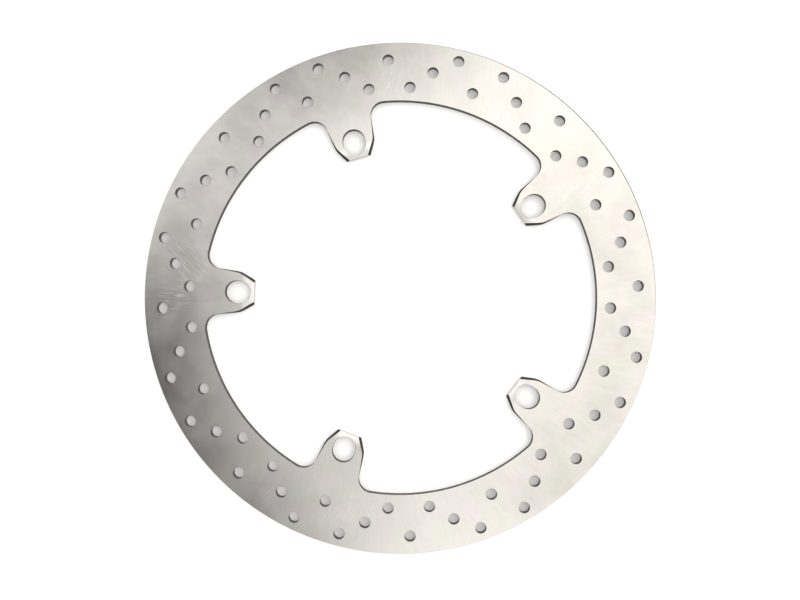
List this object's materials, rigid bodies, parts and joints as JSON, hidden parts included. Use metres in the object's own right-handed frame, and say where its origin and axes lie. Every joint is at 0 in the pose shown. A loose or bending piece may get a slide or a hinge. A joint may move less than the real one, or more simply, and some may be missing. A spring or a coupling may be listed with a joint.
{
  "type": "brake disc rotor",
  "caption": "Flat drilled brake disc rotor for a motorcycle front wheel, with slotted inward lugs that bolt to the hub through floating bobbins.",
  "frame": {"origin": "on the disc's axis, in the face that lies against the wheel, which is also the face it lies on", "axes": "+Z along the disc's axis, away from the wheel; -Y through the middle of the first lug; +X to its right"},
  "size_m": [0.32, 0.32, 0.005],
  "materials": {
    "ground_stainless_steel": "ground satin faces, dark laser-cut edges, turned lug noses"
  },
  "bodies": {
    "root": {"rotor_disc": "ground_stainless_steel"}
  },
  "joints": []
}
